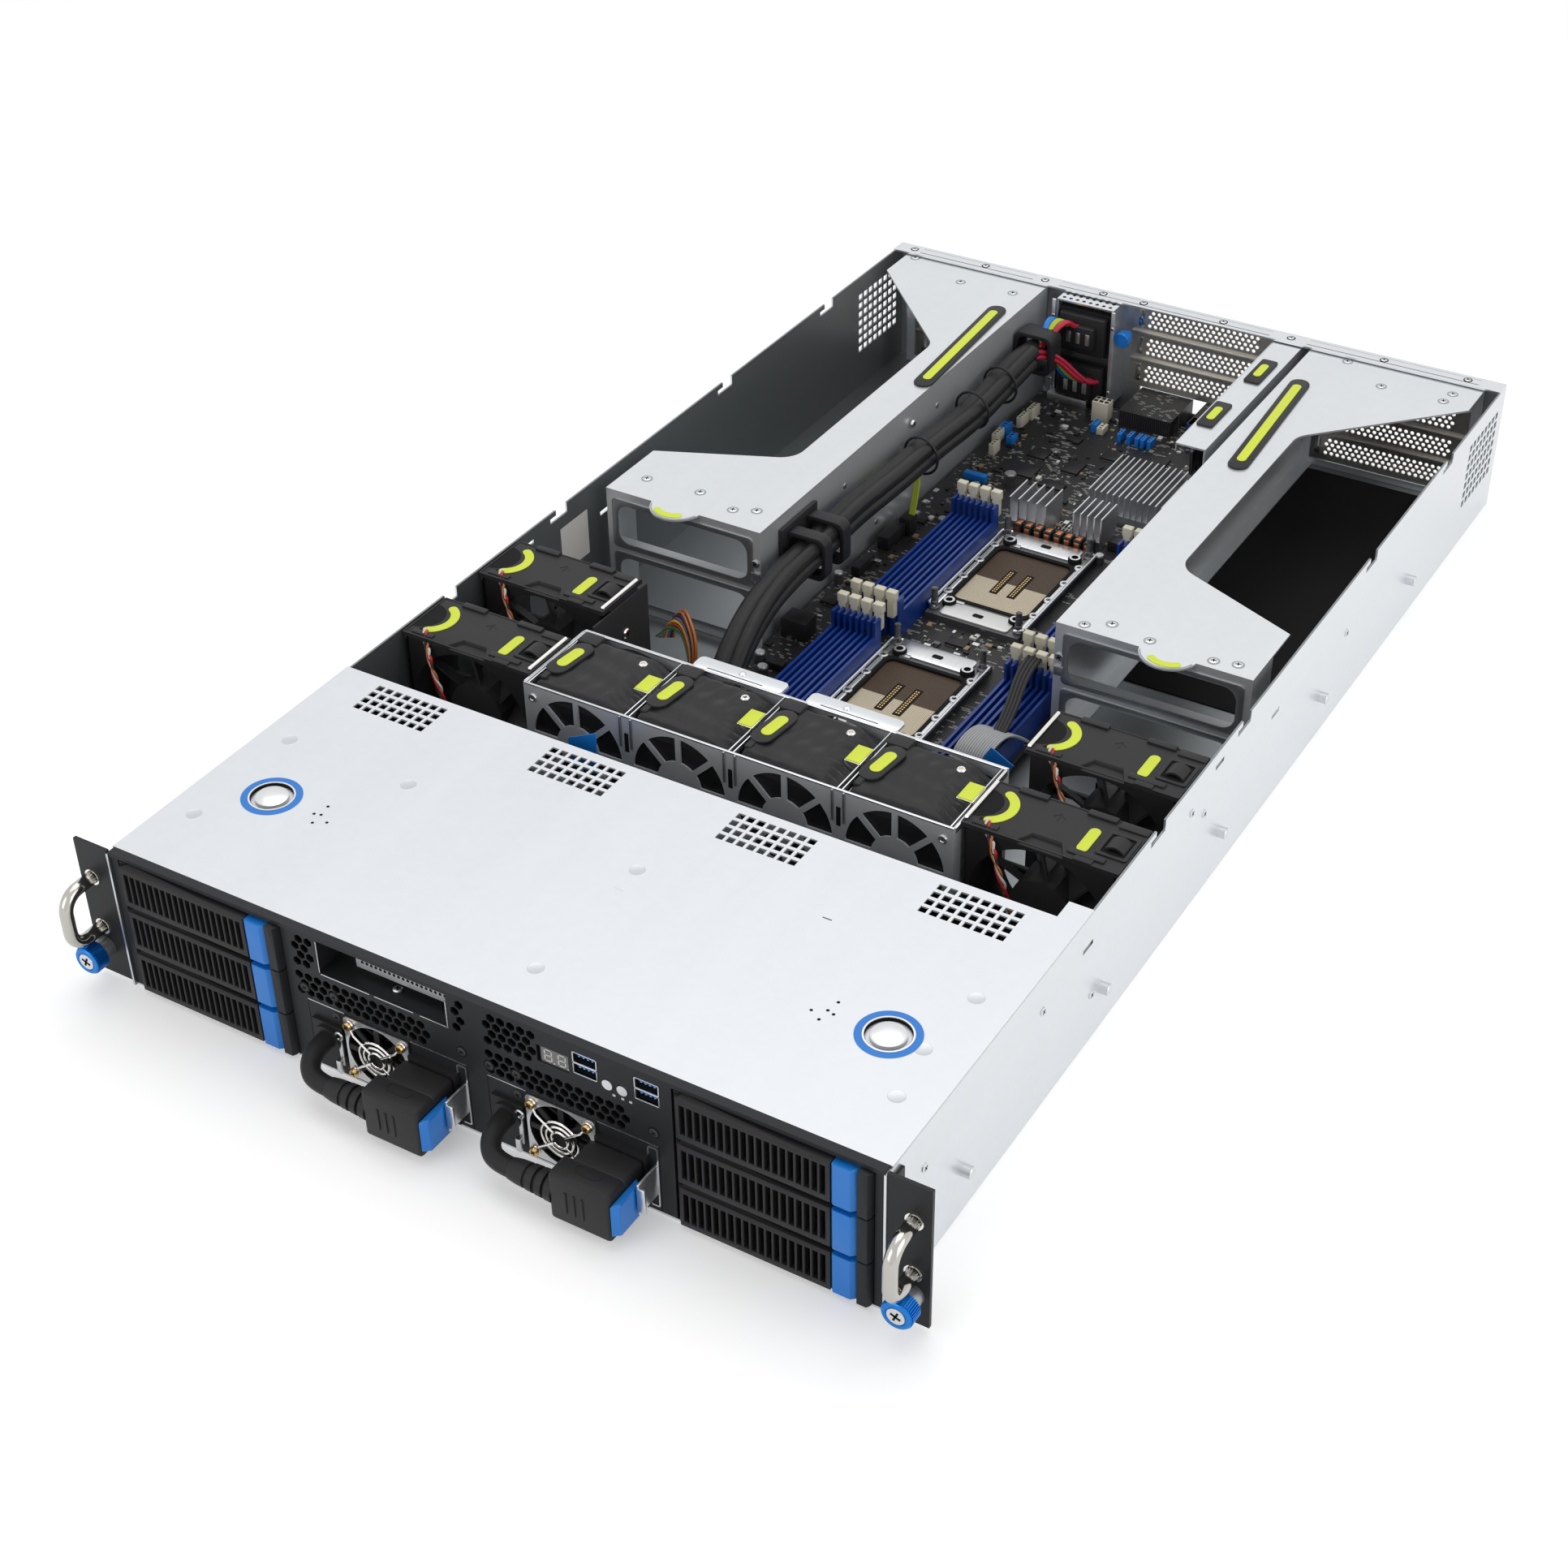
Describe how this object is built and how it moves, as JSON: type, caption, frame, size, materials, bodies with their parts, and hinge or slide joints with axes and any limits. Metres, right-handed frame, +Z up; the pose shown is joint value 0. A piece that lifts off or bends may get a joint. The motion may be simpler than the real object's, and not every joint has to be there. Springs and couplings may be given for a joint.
{
  "type": "2u rack server",
  "caption": "Rack server with drive trays, front power plugs, fan bank, card cages and an open board bay behind a fixed front cover.",
  "frame": {"origin": "middle of the chassis underside", "axes": "+X to the right seen from the front, +Y from the front to the rear, +Z up"},
  "size_m": [0.4826, 0.841, 0.0878],
  "materials": {
    "galvanised_steel": "satin zinc-coated sheet, faint grain",
    "nickel_steel": "satin nickel plate, slightly warm",
    "socket_steel": "satin stamped steel round a brown and gold contact field",
    "satin_aluminium": "satin domed metal",
    "aluminium_fins": "bare extruded fins",
    "blue_anodised": "bright blue anodised knurled head, steel shank",
    "chrome": "bright nickel-chrome rod",
    "black_steel": "fine matt black powder coat",
    "black_plastic": "matt black moulded plastic",
    "rotor_plastic": "dark grey glass-filled plastic",
    "blue_plastic": "bright blue moulded plastic",
    "blue_slot": "dark blue moulded connector plastic",
    "ivory_plastic": "ivory moulded plastic",
    "circuit_board": "black solder mask with light traces",
    "supply_case": "dark case with a satin steel fan plate",
    "cord_jacket": "matt black cord jacket",
    "plug_rubber": "matt black overmoulded plug",
    "cable_sleeve": "black heat-shrink sleeve over a wire bundle"
  },
  "bodies": {
    "root": {"chassis_tray": "galvanised_steel", "front_cover": "galvanised_steel", "front_frame": "black_steel", "ear_handles": "chrome", "fan_wall": "galvanised_steel", "fan_frames": "black_plastic", "gpu_cage_left": "galvanised_steel", "gpu_cage_right": "galvanised_steel", "rear_panel": "galvanised_steel", "slot_covers": "nickel_steel", "power_inlets": "black_plastic", "motherboard": "circuit_board", "cpu_sockets": "socket_steel", "dimm_slots": "blue_slot", "heatsinks": "aluminium_fins", "psu_housings": "supply_case", "cord_left": "cord_jacket", "cord_right": "cord_jacket", "power_plugs": "plug_rubber", "power_cables": "cable_sleeve"},
    "cover_button_left": {"cover_button_left": "satin_aluminium"},
    "cover_button_right": {"cover_button_right": "satin_aluminium"},
    "rack_screw_left": {"rack_screw_left": "blue_anodised"},
    "rack_screw_right": {"rack_screw_right": "blue_anodised"},
    "drive_tray_1": {"drive_tray_1": "black_steel"},
    "tray_lever_1": {"tray_lever_1": "black_plastic"},
    "tray_key_1": {"tray_key_1": "blue_plastic"},
    "drive_tray_2": {"drive_tray_2": "black_steel"},
    "tray_lever_2": {"tray_lever_2": "black_plastic"},
    "tray_key_2": {"tray_key_2": "blue_plastic"},
    "drive_tray_3": {"drive_tray_3": "black_steel"},
    "tray_lever_3": {"tray_lever_3": "black_plastic"},
    "tray_key_3": {"tray_key_3": "blue_plastic"},
    "drive_tray_4": {"drive_tray_4": "black_steel"},
    "tray_lever_4": {"tray_lever_4": "black_plastic"},
    "tray_key_4": {"tray_key_4": "blue_plastic"},
    "drive_tray_5": {"drive_tray_5": "black_steel"},
    "tray_lever_5": {"tray_lever_5": "black_plastic"},
    "tray_key_5": {"tray_key_5": "blue_plastic"},
    "drive_tray_6": {"drive_tray_6": "black_steel"},
    "tray_lever_6": {"tray_lever_6": "black_plastic"},
    "tray_key_6": {"tray_key_6": "blue_plastic"},
    "power_button": {"power_button": "satin_aluminium"},
    "identify_button": {"identify_button": "satin_aluminium"},
    "mid_fan_rotor_1": {"mid_fan_rotor_1": "rotor_plastic"},
    "mid_fan_rotor_2": {"mid_fan_rotor_2": "rotor_plastic"},
    "mid_fan_rotor_3": {"mid_fan_rotor_3": "rotor_plastic"},
    "mid_fan_rotor_4": {"mid_fan_rotor_4": "rotor_plastic"},
    "side_fan_rotor_1": {"side_fan_rotor_1": "rotor_plastic"},
    "side_fan_rotor_2": {"side_fan_rotor_2": "rotor_plastic"},
    "side_fan_rotor_3": {"side_fan_rotor_3": "rotor_plastic"},
    "side_fan_rotor_4": {"side_fan_rotor_4": "rotor_plastic"},
    "psu_fan_rotor_1": {"psu_fan_rotor_1": "rotor_plastic"},
    "psu_fan_rotor_2": {"psu_fan_rotor_2": "rotor_plastic"},
    "plug_tab_left": {"plug_tab_left": "blue_plastic"},
    "plug_tab_right": {"plug_tab_right": "blue_plastic"},
    "dimm_latches_1": {"dimm_latches_1": "ivory_plastic"},
    "dimm_latches_2": {"dimm_latches_2": "ivory_plastic"},
    "dimm_latches_3": {"dimm_latches_3": "ivory_plastic"},
    "dimm_latches_4": {"dimm_latches_4": "ivory_plastic"}
  },
  "joints": [
    {"name": "cover_button_left_slide", "type": "slide", "parent": "root", "child": "cover_button_left", "axis": [0, 0, -1], "range_m": [0, 0.0012], "stiffness_N_per_m": 600},
    {"name": "cover_button_right_slide", "type": "slide", "parent": "root", "child": "cover_button_right", "axis": [0, 0, -1], "range_m": [0, 0.0012], "stiffness_N_per_m": 600},
    {"name": "rack_screw_left_turn", "type": "hinge", "parent": "root", "child": "rack_screw_left", "pos_m": [-0.233, -0.405, 0.0205], "axis": [0, 1, 0], "continuous": true},
    {"name": "rack_screw_right_turn", "type": "hinge", "parent": "root", "child": "rack_screw_right", "pos_m": [0.233, -0.405, 0.0205], "axis": [0, 1, 0], "continuous": true},
    {"name": "drive_tray_1_slide", "type": "slide", "parent": "root", "child": "drive_tray_1", "axis": [0, -1, 0], "range_m": [0, 0.14]},
    {"name": "tray_lever_1_turn", "type": "hinge", "parent": "drive_tray_1", "child": "tray_lever_1", "pos_m": [-0.2096, -0.4042, 0.0697], "axis": [0, 0, -1], "range_deg": [0, 50]},
    {"name": "tray_key_1_slide", "type": "slide", "parent": "drive_tray_1", "child": "tray_key_1", "axis": [0, 1, 0], "range_m": [0, 0.0025], "stiffness_N_per_m": 300},
    {"name": "drive_tray_2_slide", "type": "slide", "parent": "root", "child": "drive_tray_2", "axis": [0, -1, 0], "range_m": [0, 0.14]},
    {"name": "tray_lever_2_turn", "type": "hinge", "parent": "drive_tray_2", "child": "tray_lever_2", "pos_m": [-0.2096, -0.4042, 0.0424], "axis": [0, 0, -1], "range_deg": [0, 50]},
    {"name": "tray_key_2_slide", "type": "slide", "parent": "drive_tray_2", "child": "tray_key_2", "axis": [0, 1, 0], "range_m": [0, 0.0025], "stiffness_N_per_m": 300},
    {"name": "drive_tray_3_slide", "type": "slide", "parent": "root", "child": "drive_tray_3", "axis": [0, -1, 0], "range_m": [0, 0.14]},
    {"name": "tray_lever_3_turn", "type": "hinge", "parent": "drive_tray_3", "child": "tray_lever_3", "pos_m": [-0.2096, -0.4042, 0.0151], "axis": [0, 0, -1], "range_deg": [0, 50]},
    {"name": "tray_key_3_slide", "type": "slide", "parent": "drive_tray_3", "child": "tray_key_3", "axis": [0, 1, 0], "range_m": [0, 0.0025], "stiffness_N_per_m": 300},
    {"name": "drive_tray_4_slide", "type": "slide", "parent": "root", "child": "drive_tray_4", "axis": [0, -1, 0], "range_m": [0, 0.14]},
    {"name": "tray_lever_4_turn", "type": "hinge", "parent": "drive_tray_4", "child": "tray_lever_4", "pos_m": [0.1144, -0.4042, 0.0697], "axis": [0, 0, -1], "range_deg": [0, 50]},
    {"name": "tray_key_4_slide", "type": "slide", "parent": "drive_tray_4", "child": "tray_key_4", "axis": [0, 1, 0], "range_m": [0, 0.0025], "stiffness_N_per_m": 300},
    {"name": "drive_tray_5_slide", "type": "slide", "parent": "root", "child": "drive_tray_5", "axis": [0, -1, 0], "range_m": [0, 0.14]},
    {"name": "tray_lever_5_turn", "type": "hinge", "parent": "drive_tray_5", "child": "tray_lever_5", "pos_m": [0.1144, -0.4042, 0.0424], "axis": [0, 0, -1], "range_deg": [0, 50]},
    {"name": "tray_key_5_slide", "type": "slide", "parent": "drive_tray_5", "child": "tray_key_5", "axis": [0, 1, 0], "range_m": [0, 0.0025], "stiffness_N_per_m": 300},
    {"name": "drive_tray_6_slide", "type": "slide", "parent": "root", "child": "drive_tray_6", "axis": [0, -1, 0], "range_m": [0, 0.14]},
    {"name": "tray_lever_6_turn", "type": "hinge", "parent": "drive_tray_6", "child": "tray_lever_6", "pos_m": [0.1144, -0.4042, 0.0151], "axis": [0, 0, -1], "range_deg": [0, 50]},
    {"name": "tray_key_6_slide", "type": "slide", "parent": "drive_tray_6", "child": "tray_key_6", "axis": [0, 1, 0], "range_m": [0, 0.0025], "stiffness_N_per_m": 300},
    {"name": "power_button_slide", "type": "slide", "parent": "root", "child": "power_button", "axis": [0, 1, 0], "range_m": [0, 0.001], "stiffness_N_per_m": 300},
    {"name": "identify_button_slide", "type": "slide", "parent": "root", "child": "identify_button", "axis": [0, 1, 0], "range_m": [0, 0.001], "stiffness_N_per_m": 300},
    {"name": "mid_fan_rotor_1_turn", "type": "hinge", "parent": "root", "child": "mid_fan_rotor_1", "pos_m": [-0.09735, -0.1735, 0.051], "axis": [0, 1, 0], "continuous": true},
    {"name": "mid_fan_rotor_2_turn", "type": "hinge", "parent": "root", "child": "mid_fan_rotor_2", "pos_m": [-0.03245, -0.1735, 0.051], "axis": [0, 1, 0], "continuous": true},
    {"name": "mid_fan_rotor_3_turn", "type": "hinge", "parent": "root", "child": "mid_fan_rotor_3", "pos_m": [0.03245, -0.1735, 0.051], "axis": [0, 1, 0], "continuous": true},
    {"name": "mid_fan_rotor_4_turn", "type": "hinge", "parent": "root", "child": "mid_fan_rotor_4", "pos_m": [0.09735, -0.1735, 0.051], "axis": [0, 1, 0], "continuous": true},
    {"name": "side_fan_rotor_1_turn", "type": "hinge", "parent": "root", "child": "side_fan_rotor_1", "pos_m": [-0.1745, -0.168, 0.0415], "axis": [0, 1, 0], "continuous": true},
    {"name": "side_fan_rotor_2_turn", "type": "hinge", "parent": "root", "child": "side_fan_rotor_2", "pos_m": [-0.1745, -0.097, 0.0415], "axis": [0, 1, 0], "continuous": true},
    {"name": "side_fan_rotor_3_turn", "type": "hinge", "parent": "root", "child": "side_fan_rotor_3", "pos_m": [0.1745, -0.168, 0.0415], "axis": [0, 1, 0], "continuous": true},
    {"name": "side_fan_rotor_4_turn", "type": "hinge", "parent": "root", "child": "side_fan_rotor_4", "pos_m": [0.1745, -0.097, 0.0415], "axis": [0, 1, 0], "continuous": true},
    {"name": "psu_fan_rotor_1_turn", "type": "hinge", "parent": "root", "child": "psu_fan_rotor_1", "pos_m": [-0.0578, -0.401, 0.0233], "axis": [0, 1, 0], "continuous": true},
    {"name": "psu_fan_rotor_2_turn", "type": "hinge", "parent": "root", "child": "psu_fan_rotor_2", "pos_m": [0.049, -0.401, 0.0233], "axis": [0, 1, 0], "continuous": true},
    {"name": "plug_tab_left_slide", "type": "slide", "parent": "root", "child": "plug_tab_left", "axis": [0, -1, 0], "range_m": [0, 0.0025], "stiffness_N_per_m": 300},
    {"name": "plug_tab_right_slide", "type": "slide", "parent": "root", "child": "plug_tab_right", "axis": [0, -1, 0], "range_m": [0, 0.0025], "stiffness_N_per_m": 300},
    {"name": "dimm_latches_1_turn", "type": "hinge", "parent": "root", "child": "dimm_latches_1", "pos_m": [0, -0.0991, 0.028], "axis": [1, 0, 0], "range_deg": [0, 25]},
    {"name": "dimm_latches_2_turn", "type": "hinge", "parent": "root", "child": "dimm_latches_2", "pos_m": [0, 0.0371, 0.028], "axis": [-1, 0, 0], "range_deg": [0, 15]},
    {"name": "dimm_latches_3_turn", "type": "hinge", "parent": "root", "child": "dimm_latches_3", "pos_m": [0, 0.0529, 0.028], "axis": [1, 0, 0], "range_deg": [0, 15]},
    {"name": "dimm_latches_4_turn", "type": "hinge", "parent": "root", "child": "dimm_latches_4", "pos_m": [0, 0.1891, 0.028], "axis": [-1, 0, 0], "range_deg": [0, 25]}
  ]
}
